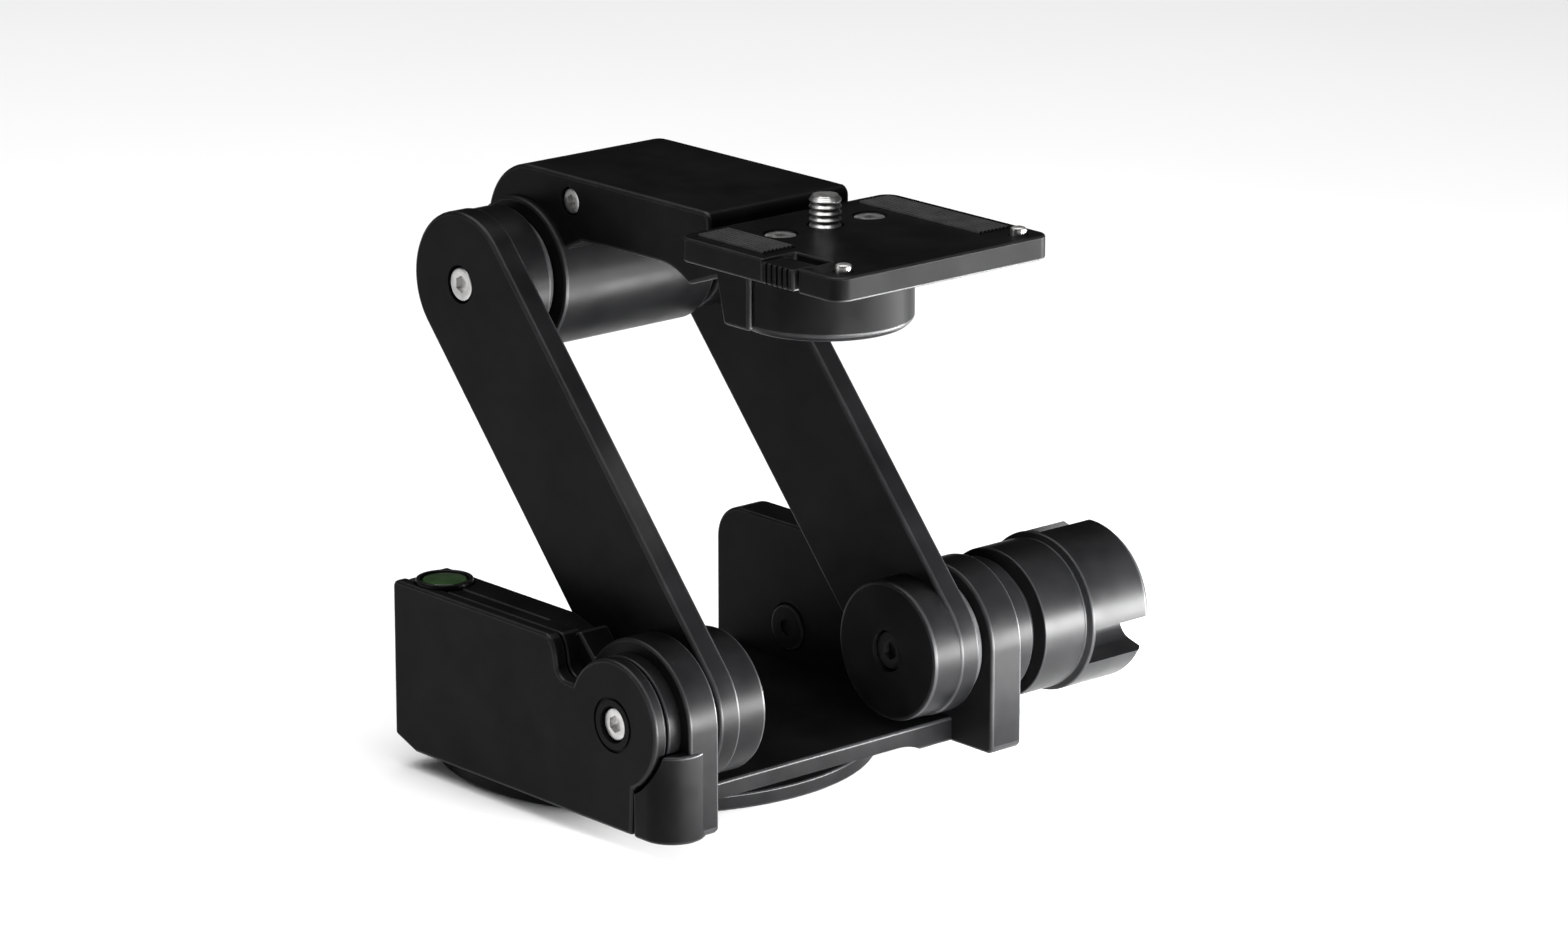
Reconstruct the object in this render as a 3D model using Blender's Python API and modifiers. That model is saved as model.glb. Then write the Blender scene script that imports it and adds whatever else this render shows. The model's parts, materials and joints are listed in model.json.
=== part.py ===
"""Parallel-arm camera tilt head: a turning base, two arms, an upper link and a friction knob.

Lengths are given in millimetres and turned into metres by MM. Design coordinates: X along the
tilt axes with 0 midway between the arms, Y back from the lower axis, Z up from the lower axis.
"""
import math

import bmesh
import bpy
from mathutils import Vector

MM = 0.001

# --- driving dimensions (mm) ---
AXIS_HEIGHT = 25.0            # lower axis above the ground
ARM_LENGTH = 97.3             # lower axis to upper axis
ARM_LEAN = math.radians(41.5)  # arms lean back from upright
ARM_RADIUS = 14.7
ARM_OUT, ARM_BLADE, ARM_HUB = 34.3, 5.4, 12.1
HUB_RADIUS = 14.4

PAN_X, PAN_Y = -2.0, 43.0     # pan axis
DISC_RADIUS = 45.0
BASE_BOTTOM = -21.2
FLOOR_TOP, FLOOR_FRONT, FLOOR_BACK = -15.9, -4.0, 66.0
WALL_BACK, WALL_TOP = 68.8, 13.7
EAR_RADIUS = 15.8
KNUCKLE_RADIUS = 13.0
LEFT_IN, LEFT_STEP, LEFT_FRAME = -35.6, -42.9, -45.9
COVER_IN, COVER_OUT = -46.2, -49.2
RIGHT_IN, RIGHT_OUT = 36.4, 44.6
FOOT_RADIUS, FOOT_Y, FOOT_TOP = 6.7, -9.7, -3.5

BARREL_RADIUS, BARREL_HALF = 15.6, 19.8
NECK_HALF, NECK_TOP, NECK_ARCH = 18.2, 95.2, 82.7
NOSE_RADIUS, NOSE_Y = 17.4, -6.2
NOSE_BOTTOM, NOSE_TOP = 73.2, 87.4
PLATE_HALF, PLATE_FRONT, PLATE_BACK = 27.5, -40.8, 5.9
PLATE_BOTTOM, PLATE_TOP = 87.7, 92.5

KNOB_START, KNOB_STEP, KNOB_END = 49.3, 62.9, 80.3
KNOB_RADIUS, LOBE_RADIUS, KNOB_RECESS = 15.6, 16.6, 7.0
BOLT_RADIUS, BOLT_END_RADIUS, AXLE_RADIUS = 4.0, 3.3, 5.0
SCREW_HEAD_RADIUS, SCREW_RECESS_RADIUS = 3.4, 3.9

CENTRE_X = (COVER_OUT + KNOB_END) / 2
CENTRE_Y = (PLATE_FRONT + PAN_Y + DISC_RADIUS) / 2
UPPER_Y = ARM_LENGTH * math.sin(ARM_LEAN)
UPPER_Z = ARM_LENGTH * math.cos(ARM_LEAN)

ALONG_X = (0.0, math.pi / 2, 0.0)                # local Z becomes X
SIDE = (math.pi / 2, 0.0, math.pi / 2)           # local X, Y, Z become Y, Z, X
FLAT = (0.0, 0.0, 0.0)

for old in list(bpy.data.objects):
    bpy.data.objects.remove(old, do_unlink=True)

parts = bpy.data.collections.new("camera_tilt_head")
cutters = bpy.data.collections.new("cutters")
for group in (parts, cutters):
    bpy.context.scene.collection.children.link(group)


def material(name, colour, roughness, metallic):
    mat = bpy.data.materials.new(name)
    mat.use_nodes = True
    shader = mat.node_tree.nodes["Principled BSDF"]
    shader.inputs["Base Color"].default_value = (*colour, 1.0)
    shader.inputs["Roughness"].default_value = roughness
    shader.inputs["Metallic"].default_value = metallic
    mat.diffuse_color = (*colour, 1.0)
    return mat


BLACK = material("black_anodised", (0.020, 0.020, 0.022), 0.38, 0.85)
DARK = material("dark_cover", (0.028, 0.028, 0.030), 0.45, 0.6)
STEEL = material("bright_steel", (0.62, 0.61, 0.60), 0.30, 1.0)
OXIDE = material("black_oxide_steel", (0.03, 0.03, 0.032), 0.45, 0.9)
BRASS = material("bearing_bronze", (0.45, 0.33, 0.16), 0.40, 1.0)
RUBBER = material("black_rubber", (0.015, 0.015, 0.015), 0.85, 0.0)
POLYMER = material("friction_polymer", (0.05, 0.05, 0.05), 0.60, 0.0)
VIAL = material("level_vial", (0.08, 0.16, 0.06), 0.10, 0.0)


def place(x, y, z):
    """Design millimetres to world metres."""
    return Vector((x - CENTRE_X, y - CENTRE_Y, z + AXIS_HEIGHT)) * MM


def pivot(name, x, y, z):
    empty = bpy.data.objects.new(name, None)
    empty.empty_display_size = 0.01
    empty.location = place(x, y, z)
    parts.objects.link(empty)
    return empty


def arc(cx, cy, radius, start, end, steps):
    """Points on an arc from start to end, in degrees."""
    angles = [math.radians(start + (end - start) * i / steps) for i in range(steps + 1)]
    return [(cx + radius * math.cos(a), cy + radius * math.sin(a)) for a in angles]


def slab(name, loops, depth, centre, rotation=FLAT):
    """A flat outline, with any holes as further loops, as a closed mesh of the given depth."""
    curve = bpy.data.curves.new(name, "CURVE")
    curve.dimensions = "2D"
    curve.fill_mode = "BOTH"
    curve.extrude = depth * MM / 2
    for loop in loops:
        spline = curve.splines.new("POLY")
        spline.points.add(len(loop) - 1)
        for point, (u, v) in zip(spline.points, loop):
            point.co = (u * MM, v * MM, 0.0, 1.0)
        spline.use_cyclic_u = True
    drawn = bpy.data.objects.new(name + "_outline", curve)
    drawn.location, drawn.rotation_euler = centre, rotation
    bpy.context.scene.collection.objects.link(drawn)
    bpy.context.view_layer.update()
    solid_mesh = bpy.data.meshes.new_from_object(
        drawn.evaluated_get(bpy.context.evaluated_depsgraph_get()))
    welded = bmesh.new()
    welded.from_mesh(solid_mesh)
    bmesh.ops.remove_doubles(welded, verts=welded.verts, dist=1e-6)
    bmesh.ops.dissolve_limit(welded, angle_limit=0.001, verts=welded.verts, edges=welded.edges)
    bmesh.ops.recalc_face_normals(welded, faces=welded.faces)
    welded.to_mesh(solid_mesh)
    welded.free()
    solid = bpy.data.objects.new(name, solid_mesh)
    solid.matrix_world = drawn.matrix_world
    bpy.data.objects.remove(drawn, do_unlink=True)
    parts.objects.link(solid)
    return solid


def turned(name, profile, centre, rotation=FLAT, steps=40, closed=True):
    """A turned piece: (radius, height) points down the outer side, spun about local Z."""
    mesh = bpy.data.meshes.new(name)
    count = len(profile)
    edges = [(i, i + 1) for i in range(count - 1)] + ([(count - 1, 0)] if closed else [])
    mesh.from_pydata([(r * MM, 0.0, h * MM) for r, h in profile], edges, [])
    solid = bpy.data.objects.new(name, mesh)
    solid.location, solid.rotation_euler = centre, rotation
    parts.objects.link(solid)
    spin = solid.modifiers.new("spin", "SCREW")
    spin.axis, spin.angle = "Z", 2 * math.pi
    spin.steps = spin.render_steps = steps
    spin.use_merge_vertices, spin.merge_threshold = True, 1e-6
    spin.use_smooth_shade = False
    return solid


def ring(name, inner, outer, low, high, centre, rotation=FLAT, steps=24):
    """A washer or bush between two heights."""
    profile = [(inner, high), (outer, high), (outer, low), (inner, low)]
    return turned(name, profile, centre, rotation, steps)


def pin(name, radius, low, high, centre, rotation=FLAT, chamfer=0.3, steps=24):
    """A solid round pin between two heights."""
    profile = [(0.0, high), (radius - chamfer, high), (radius, high - chamfer),
               (radius, low + chamfer), (radius - chamfer, low), (0.0, low)]
    return turned(name, profile, centre, rotation, steps, closed=False)


def drum(name, radius, low, high, centre, rotation=FLAT, steps=24):
    """A plain round cutter between two heights."""
    profile = [(0.0, high), (radius, high), (radius, low), (0.0, low)]
    return turned(name, profile, centre, rotation, steps, closed=False)


def stepped(name, steps_down, centre, rotation=FLAT, steps=24):
    """A round cutter of several radii: (radius, high, low) for each step, from the top down."""
    profile = [(0.0, steps_down[0][1])]
    for radius, high, low in steps_down:
        profile += [(radius, high), (radius, low)]
    return turned(name, profile + [(0.0, steps_down[-1][2])], centre, rotation, steps, closed=False)


def bevel(solid, width, segments=1, angle=35.0):
    edge = solid.modifiers.new("edges", "BEVEL")
    edge.width, edge.segments = width * MM, segments
    edge.limit_method, edge.angle_limit = "ANGLE", math.radians(angle)
    return solid


def combine(solid, tool, operation):
    """Join or cut with a tool, which moves to the cutters."""
    step = solid.modifiers.new(operation.lower() + "_" + tool.name, "BOOLEAN")
    step.operation, step.object, step.solver = operation, tool, "EXACT"
    if cutters not in tool.users_collection:
        parts.objects.unlink(tool)
        cutters.objects.link(tool)
    tool.hide_render, tool.display_type = True, "WIRE"


def cut(solid, *tools):
    for tool in tools:
        combine(solid, tool, "DIFFERENCE")


def join(solid, *tools):
    for tool in tools:
        combine(solid, tool, "UNION")


def finish(solid, parent, mat):
    """Give a piece its material and hang it from its joint's empty."""
    if any(step.type == "BOOLEAN" for step in solid.modifiers):
        weld = solid.modifiers.new("weld", "WELD")
        weld.merge_threshold = 1e-5
    solid.data.materials.clear()
    solid.data.materials.append(mat)
    where = solid.matrix_basis.copy()
    solid.parent = parent
    solid.matrix_basis = where
    solid.location = Vector(solid.location) - Vector(parent.location)
    solid.data.shade_smooth()
    solid.data.set_sharp_from_angle(angle=math.radians(30))
    return solid


def box(name, low, high):
    """A rectangular block between two corners in design millimetres."""
    sides = [(b - a) * MM for a, b in zip(low, high)]
    block = bmesh.new()
    bmesh.ops.create_cube(block, size=1.0)
    bmesh.ops.scale(block, vec=sides, verts=block.verts)
    mesh = bpy.data.meshes.new(name)
    block.to_mesh(mesh)
    block.free()
    solid = bpy.data.objects.new(name, mesh)
    solid.location = place(*[(a + b) / 2 for a, b in zip(low, high)])
    parts.objects.link(solid)
    return solid


tripod = pivot("tripod_axis", PAN_X, PAN_Y, -AXIS_HEIGHT)
base = pivot("pan_axis", PAN_X, PAN_Y, BASE_BOTTOM)
arms = pivot("lower_axis", 0.0, 0.0, 0.0)
link = pivot("upper_axis", 0.0, UPPER_Y, UPPER_Z)
knob_axis = pivot("knob_axis", KNOB_START, 0.0, 0.0)
screw_axis = pivot("screw_axis", 0.0, NOSE_Y, NOSE_BOTTOM)

# --- tripod disc ---
pan_centre = place(PAN_X, PAN_Y, 0.0)
finish(turned("pan_disc", [
    (8.3, -18.8), (16.6, -18.8), (17.0, -19.2), (17.0, -21.5), (DISC_RADIUS - 0.7, -21.5),
    (DISC_RADIUS, -22.2), (DISC_RADIUS, -23.9), (DISC_RADIUS - 0.8, -24.7), (38.5, -24.7),
    (38.5, -23.7), (24.0, -23.7), (24.0, -24.7), (8.3, -24.7)], pan_centre, steps=56), tripod, BLACK)
finish(ring("tripod_bush", 4.1, 8.0, -24.5, -18.8, pan_centre), tripod, STEEL)
finish(ring("grip_ring", 24.3, 38.2, -25.0, -24.0, pan_centre, steps=56), tripod, RUBBER)

# --- base casting ---
concave = arc(22.0, 20.2, 8.0, -90, -137, 4)     # scoop from the box down to the ear
ear = arc(0.0, 0.0, EAR_RADIUS, 34, 180, 16)
lower_front = [(-EAR_RADIUS, BASE_BOTTOM + 1.0), (-EAR_RADIUS + 1.0, BASE_BOTTOM)]


def wall_outline(corner):
    """Side outline of a base wall; corner is the radius of its top back corner."""
    back = arc(WALL_BACK - corner, WALL_TOP - corner, corner, 0, 90, 6)
    lower_back = [(62.4, BASE_BOTTOM), (WALL_BACK, BASE_BOTTOM + 2.4)]
    return lower_back + back + [(27.5, WALL_TOP)] + concave[:4] + ear + lower_front


notch = [(20.5, WALL_TOP), (18.4, 12.6), (17.6, 10.4)] + arc(14.2, 8.4, 3.0, 0, -80, 4)
knuckle = arc(0.0, 0.0, KNUCKLE_RADIUS, 24, 243, 22)


def panel_outline(inset):
    """Side outline of the left cover and of the frame behind it, whose box is a little smaller."""
    back, top, bottom = WALL_BACK - inset, WALL_TOP - inset, BASE_BOTTOM + inset
    return ([(62.4, bottom), (back, bottom + 2.4), (back, top - 1.2), (back - 1.2, top)]
            + [(notch[0][0], top)] + notch[1:] + knuckle + [(-5.4, bottom)])


def side_slab(name, loops, x0, x1):
    """A side outline between two X positions."""
    low, high = min(x0, x1), max(x0, x1)
    return slab(name, loops, high - low, place((low + high) / 2, 0.0, 0.0), SIDE)


casting = bevel(box("base_casting", (LEFT_IN - 3.1, FLOOR_FRONT, BASE_BOTTOM + 0.2),
                    (RIGHT_IN + 3.1, FLOOR_BACK, FLOOR_TOP)), 0.6)
left_wall = bevel(side_slab("left_wall", [wall_outline(1.2)], LEFT_IN, LEFT_STEP), 0.6)
left_frame = bevel(side_slab("left_frame", [panel_outline(0.25)], LEFT_STEP + 1.5, LEFT_FRAME), 0.4)
right_wall = bevel(side_slab("right_wall", [wall_outline(7.5)], RIGHT_IN, RIGHT_OUT), 0.8)
foot_x = COVER_OUT + 0.1 + FOOT_RADIUS
foot_plan = ([(foot_x - FOOT_RADIUS, -6.0)] + arc(foot_x, FOOT_Y, FOOT_RADIUS, 180, 360, 14)
             + [(foot_x + FOOT_RADIUS, 1.5), (LEFT_FRAME + 0.3, 1.5), (LEFT_FRAME + 0.3, -6.0)])
foot = bevel(slab("left_foot", [foot_plan], FOOT_TOP - BASE_BOTTOM + 0.15,
                  place(0.0, 0.0, (FOOT_TOP + BASE_BOTTOM - 0.15) / 2)), 0.5)
cut(foot, drum("knuckle_gap_cutter", 14.0, -52.0, LEFT_STEP, place(0.0, 0.0, 0.0), ALONG_X))
join(casting, left_wall, left_frame, right_wall, foot)

LEVEL_X, LEVEL_Y, LEVEL_RADIUS = -42.4, 60.5, 6.2
ARCH_TOP = -19.4
PLUG_Y, PLUG_Z, PLUG_RADIUS = 46.0, -8.6, 5.2
arch_plan = (arc(-26.0, ARCH_TOP - 8.0, 8.0, 180, 90, 4)
             + arc(22.0, ARCH_TOP - 12.4, 12.4, 90, 0, 6) + [(34.4, -40.0), (-34.0, -40.0)])
front_arch = slab("front_arch_cutter", [arch_plan], 32.0, place(0.0, -10.0, 0.0),
                  (math.pi / 2, 0.0, 0.0))
level_pocket = drum("level_pocket_cutter", LEVEL_RADIUS, WALL_TOP - 2.4, WALL_TOP + 4.0,
                    place(LEVEL_X, LEVEL_Y, 0.0), steps=28)
cut(casting,
    drum("left_bore_cutter", 7.3, -50.0, -30.0, place(0.0, 0.0, 0.0), ALONG_X),
    drum("right_bore_cutter", 7.3, 30.0, 50.0, place(0.0, 0.0, 0.0), ALONG_X),
    front_arch,
    stepped("pan_recess_cutter", [(6.0, -10.0, -18.4), (20.5, -18.4, -26.0)], pan_centre),
    drum("plug_recess_cutter", PLUG_RADIUS, RIGHT_IN - 5.0, RIGHT_IN + 2.0,
         place(0.0, PLUG_Y, PLUG_Z), ALONG_X),
    level_pocket)
finish(casting, base, BLACK)

# --- left cover, level and small fittings of the base ---
cover = bevel(side_slab("left_cover", [panel_outline(0.0)], COVER_OUT, COVER_IN), 0.7)
groove = ring("cover_groove_cutter", 5.0, 5.6, -50.0, COVER_OUT + 0.6, place(0.0, 0.0, 0.0),
              ALONG_X, steps=32)
cut(cover, drum("cover_hole_cutter", 3.7, -52.0, -40.0, place(0.0, 0.0, 0.0), ALONG_X), groove,
    level_pocket)
finish(cover, base, DARK)
level_top = WALL_TOP + 0.9
finish(turned("level_bezel", [
    (4.9, level_top - 0.3), (5.2, level_top), (5.6, level_top), (LEVEL_RADIUS - 0.3, level_top - 0.4),
    (LEVEL_RADIUS - 0.3, WALL_TOP - 2.1), (4.9, WALL_TOP - 2.1)],
    place(LEVEL_X, LEVEL_Y, 0.0), steps=28), base, STEEL)
dome = [(0.0, level_top + 0.3)] + [(r, level_top + 0.3 - 0.03 * r * r) for r in (1.6, 3.0, 4.0)]
finish(turned("level_vial", dome + [(4.6, level_top - 0.6), (4.6, WALL_TOP - 2.0),
                                    (0.0, WALL_TOP - 2.0)],
              place(LEVEL_X, LEVEL_Y, 0.0), steps=28, closed=False), base, VIAL)
finish(turned("pan_cap", [
    (0.0, -14.0), (11.6, -14.0), (13.0, -14.8), (13.0, -15.6), (5.7, -15.6), (5.7, -18.1),
    (0.0, -18.1)], pan_centre, steps=32, closed=False), base, STEEL)
finish(pin("wall_plug", PLUG_RADIUS - 0.3, RIGHT_IN - 0.6, RIGHT_IN + 1.7,
           place(0.0, PLUG_Y, PLUG_Z), ALONG_X, chamfer=0.5), base, DARK)
lower = place(0.0, 0.0, 0.0)
finish(ring("left_bush", 4.3, 7.0, LEFT_FRAME + 0.3, LEFT_IN - 0.3, lower, ALONG_X), base, BRASS)
finish(ring("right_bush", 4.3, 7.0, RIGHT_IN + 0.3, RIGHT_OUT - 0.3, lower, ALONG_X), base, BRASS)
finish(ring("left_washer", 4.6, 13.2, LEFT_IN + 0.3, -ARM_OUT - 0.3, lower, ALONG_X),
       base, POLYMER)
finish(ring("right_washer", 4.6, 13.2, ARM_OUT + 0.3, RIGHT_IN - 0.3, lower, ALONG_X),
       base, POLYMER)
finish(ring("knob_collar", 4.6, 14.4, RIGHT_OUT + 0.3, KNOB_START - 0.4, lower, ALONG_X, 40),
       base, BLACK)

# --- arms ---
lean_y, lean_z = UPPER_Y / ARM_LENGTH, UPPER_Z / ARM_LENGTH
along = math.degrees(math.atan2(lean_z, lean_y))
arm_outline = (arc(UPPER_Y, UPPER_Z, ARM_RADIUS, along - 90, along + 90, 20)
               + arc(0.0, 0.0, ARM_RADIUS, along + 90, along + 270, 20))
upper = place(0.0, UPPER_Y, UPPER_Z)


def between(side, a, b):
    """Heights along X for a piece mirrored to the given side."""
    return tuple(sorted((side * a, side * b)))


for side, label in ((-1, "left"), (1, "right")):
    arm = bevel(side_slab(label + "_arm", [arm_outline], side * ARM_OUT,
                          side * (ARM_OUT - ARM_BLADE)), 0.8)
    for end, centre in (("lower", lower), ("upper", upper)):
        low, high = between(side, ARM_OUT - ARM_HUB, ARM_OUT - ARM_BLADE + 1.0)
        join(arm, pin(label + "_" + end + "_hub", HUB_RADIUS, low, high, centre, ALONG_X,
                      chamfer=0.7, steps=40))
    low, high = between(side, 10.0, 50.0)
    bores = [(SCREW_RECESS_RADIUS, ARM_OUT + 6.0, ARM_OUT - 2.3),
             (2.8, ARM_OUT - 2.3, ARM_OUT - 4.4), (5.3, ARM_OUT - 4.4, 10.0)]
    if side < 0:
        bores = [(radius, -b, -a) for radius, a, b in reversed(bores)]
    cut(arm, drum(label + "_lower_bore_cutter", 4.3, low, high, lower, ALONG_X),
        stepped(label + "_upper_bore_cutter", bores, upper, ALONG_X))
    finish(arm, arms, BLACK)

    head_in, head_out = ARM_OUT - 2.0, ARM_OUT - 0.2
    shape = [(0.0, head_out), (SCREW_HEAD_RADIUS - 0.4, head_out),
             (SCREW_HEAD_RADIUS, head_out - 0.4), (SCREW_HEAD_RADIUS, head_in),
             (2.5, head_in), (2.5, 20.0), (0.0, 20.0)]
    if side < 0:
        shape = [(r, -h) for r, h in reversed(shape)]
    screw = turned(label + "_upper_screw", shape, upper, ALONG_X, steps=24, closed=False)
    low, high = between(side, head_out - 1.3, head_out + 3.0)
    cut(screw, drum(label + "_upper_socket_cutter", 1.9, low, high, upper, ALONG_X, steps=6))
    finish(screw, arms, STEEL)
    low, high = between(side, BARREL_HALF + 0.3, ARM_OUT - ARM_HUB - 0.3)
    finish(ring(label + "_upper_washer", 5.3, 12.2, low, high, upper, ALONG_X), arms, POLYMER)
    low, high = between(side, 5.0, BARREL_HALF - 0.3)
    finish(ring(label + "_barrel_bush", 5.3, 7.9, low, high, upper, ALONG_X), link, BRASS)

finish(ring("upper_axle", 2.9, AXLE_RADIUS, -29.6, 29.6, upper, ALONG_X), arms, STEEL)
bolt = turned("left_pivot_bolt", [
    (0.0, -23.0), (BOLT_RADIUS - 0.4, -23.0), (BOLT_RADIUS, -23.4), (BOLT_RADIUS, -45.7),
    (BOLT_END_RADIUS, -45.7), (BOLT_END_RADIUS, -48.1), (BOLT_END_RADIUS - 0.4, -48.5),
    (0.0, -48.5)], lower, ALONG_X, steps=24, closed=False)
cut(bolt, drum("bolt_socket_cutter", 1.9, -52.0, -46.9, lower, ALONG_X, steps=6))
finish(bolt, arms, STEEL)
finish(pin("right_pivot_stud", BOLT_RADIUS, 23.0, 61.0, lower, ALONG_X, 0.5), arms, OXIDE)

# --- upper link ---
crown = arc(62.0, NECK_TOP - 13.7, 13.7, 12, 90, 8)
underside = ([(46.0, NECK_ARCH - 0.4), (36.0, NECK_ARCH)]
             + arc(22.0, NECK_ARCH - 14.0, 14.0, 90, 128, 4)
             + [(5.2, NOSE_BOTTOM + 9.4), (3.0, NOSE_BOTTOM + 0.6)])
neck_outline = ([(UPPER_Y, UPPER_Z + 4.0), (UPPER_Y + 11.4, UPPER_Z + 9.6)] + crown
                + [(11.0, NECK_TOP)] + arc(9.0, NECK_TOP - 2.0, 2.0, 80, 180, 3)
                + [(7.0, NOSE_TOP), (-4.6, NOSE_TOP - 0.6), (-4.6, NOSE_BOTTOM + 0.6)]
                + list(reversed(underside)) + [(UPPER_Y - 12.5, UPPER_Z + 6.5)])
body = bevel(side_slab("upper_link", [neck_outline], -NECK_HALF, NECK_HALF), 0.7)
nose = turned("nose_tool", [
    (0.0, NOSE_TOP), (NOSE_RADIUS - 0.5, NOSE_TOP), (NOSE_RADIUS, NOSE_TOP - 0.5),
    (NOSE_RADIUS, NOSE_BOTTOM + 1.3), (NOSE_RADIUS - 1.3, NOSE_BOTTOM), (0.0, NOSE_BOTTOM)],
    place(0.0, NOSE_Y, 0.0), steps=48, closed=False)
join(body, pin("barrel_tool", BARREL_RADIUS, -BARREL_HALF, BARREL_HALF, upper, ALONG_X,
               chamfer=0.8, steps=48), nose)
SET_Y, SET_Z = 49.5, 90.0
screw_centre = place(0.0, NOSE_Y, 0.0)
plate_screw_spots = ((-11.5, "left"), (11.5, "right"))
cut(body, drum("barrel_bore_cutter", 8.2, -30.0, 30.0, upper, ALONG_X),
    stepped("wheel_recess_cutter", [(3.6, 100.0, NOSE_BOTTOM + 6.4),
                                    (13.6, NOSE_BOTTOM + 6.4, 60.0)], screw_centre),
    drum("set_screw_cutter", 2.9, -26.0, -13.6, place(0.0, SET_Y, SET_Z), ALONG_X, steps=16))
for x, label in plate_screw_spots:
    cut(body, drum(label + "_plate_bore_cutter", 1.8, 80.8, 90.0, place(x, NOSE_Y, 0.0), steps=16))
finish(body, link, BLACK)
set_screw = pin("tension_screw", 2.6, -17.7, -13.9, place(0.0, SET_Y, SET_Z), ALONG_X, 0.4, 16)
cut(set_screw, drum("tension_socket_cutter", 1.3, -20.0, -16.2, place(0.0, SET_Y, SET_Z), ALONG_X,
                    steps=6))
finish(set_screw, link, STEEL)

# --- top plate ---
BUTTON_FRONT, BUTTON_REAR, BUTTON_IN = -29.4, -19.2, -19.0
corner = 3.2
plate_plan = (arc(PLATE_HALF - corner, PLATE_FRONT + corner, corner, -90, 0, 4)
              + arc(PLATE_HALF - corner, PLATE_BACK - corner, corner, 0, 90, 4)
              + arc(-PLATE_HALF + corner, PLATE_BACK - corner, corner, 90, 180, 4)
              + [(-PLATE_HALF, BUTTON_REAR), (BUTTON_IN, BUTTON_REAR), (BUTTON_IN, BUTTON_FRONT),
                 (-PLATE_HALF, BUTTON_FRONT)]
              + arc(-PLATE_HALF + corner, PLATE_FRONT + corner, corner, 180, 270, 4))
plate = bevel(slab("top_plate", [plate_plan], PLATE_TOP - PLATE_BOTTOM,
                   place(0.0, 0.0, (PLATE_TOP + PLATE_BOTTOM) / 2)), 0.5)
cut(plate, drum("plate_screw_bore_cutter", 3.6, 80.0, 95.0, screw_centre))
for x, label in plate_screw_spots:
    cut(plate, turned(label + "_countersink_cutter", [
        (0.0, PLATE_TOP + 2.0), (3.5, PLATE_TOP + 2.0), (3.5, PLATE_TOP - 0.2),
        (1.8, PLATE_TOP - 1.9), (1.8, 80.0), (0.0, 80.0)],
        place(x, NOSE_Y, 0.0), steps=16, closed=False))
PAD_IN, PAD_OUT, PAD_BACK = 16.5, 25.0, 3.0
PIN_X, PIN_Y = 22.5, -36.6
for side, label in ((-1, "left"), (1, "right")):
    low, high = between(side, PAD_IN, PAD_OUT)
    front = -16.5 if side < 0 else -32.0      # the left pad stops behind the button
    cut(plate, box(label + "_pad_recess_cutter", (low, front, PLATE_TOP - 0.9),
                   (high, PAD_BACK, PLATE_TOP + 2.0)),
        drum(label + "_pin_bore_cutter", 1.9, PLATE_BOTTOM + 1.5, 95.0,
             place(side * PIN_X, PIN_Y, 0.0), steps=16))
    finish(bevel(box(label + "_grip_pad", (low + 0.3, front + 0.3, PLATE_TOP - 0.6),
                     (high - 0.3, PAD_BACK - 0.3, PLATE_TOP + 0.5)), 0.3), link, RUBBER)
    finish(pin(label + "_index_pin", 1.6, PLATE_BOTTOM + 1.8, PLATE_TOP + 1.5,
               place(side * PIN_X, PIN_Y, 0.0), chamfer=0.5, steps=16), link, STEEL)
finish(plate, link, BLACK)
for x, label in plate_screw_spots:
    head = turned(label + "_plate_screw", [
        (0.0, PLATE_TOP - 0.3), (3.0, PLATE_TOP - 0.3), (1.5, PLATE_TOP - 1.8), (1.5, 81.2),
        (0.0, 81.2)], place(x, NOSE_Y, 0.0), steps=16, closed=False)
    cut(head, drum(label + "_plate_socket_cutter", 1.2, PLATE_TOP - 1.3, 95.0,
                   place(x, NOSE_Y, 0.0), steps=6))
    finish(head, link, STEEL)
button_axis = pivot("button_axis", -PLATE_HALF, (BUTTON_FRONT + BUTTON_REAR) / 2, PLATE_BOTTOM)
finish(bevel(box("lock_button", (-PLATE_HALF - 0.8, BUTTON_FRONT + 0.4, PLATE_BOTTOM + 0.3),
                 (BUTTON_IN - 3.0, BUTTON_REAR - 0.4, PLATE_TOP - 0.3)), 0.4), button_axis, DARK)

# --- camera screw and its thumb wheel ---
wheel_low, wheel_high = NOSE_BOTTOM + 0.4, NOSE_BOTTOM + 5.8
camera_screw = turned("camera_screw", [
    (0.0, PLATE_TOP + 6.0), (2.5, PLATE_TOP + 6.0), (3.17, PLATE_TOP + 5.3), (3.17, wheel_high),
    (12.2, wheel_high), (12.9, wheel_high - 0.7), (12.9, wheel_low + 0.7), (12.2, wheel_low),
    (0.0, wheel_low)], screw_centre, steps=32, closed=False)
cut(camera_screw, box("wheel_slot_cutter", (-6.0, NOSE_Y - 0.8, wheel_low - 3.0),
                      (6.0, NOSE_Y + 0.8, wheel_low + 1.8)))
finish(camera_screw, screw_axis, STEEL)

# --- friction knob ---
recess_floor = KNOB_END - KNOB_RECESS
knob = turned("friction_knob", [
    (4.3, recess_floor), (8.0, recess_floor), (8.0, KNOB_END - 0.6), (8.6, KNOB_END),
    (LOBE_RADIUS - 2.0, KNOB_END), (LOBE_RADIUS - 0.6, KNOB_END - 0.5),
    (LOBE_RADIUS, KNOB_END - 1.7), (LOBE_RADIUS, KNOB_STEP + 1.0),
    (KNOB_RADIUS - 0.4, KNOB_STEP), (KNOB_RADIUS, KNOB_STEP - 0.5),
    (KNOB_RADIUS, KNOB_START + 3.0), (KNOB_RADIUS - 0.9, KNOB_START + 2.1),
    (11.8, KNOB_START + 2.1), (11.8, KNOB_START), (4.3, KNOB_START)], lower, ALONG_X, steps=48)
SLOT_HALF, SLOT_FLOOR = 4.0, 7.6              # half width, and its floor's distance from the axis
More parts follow.
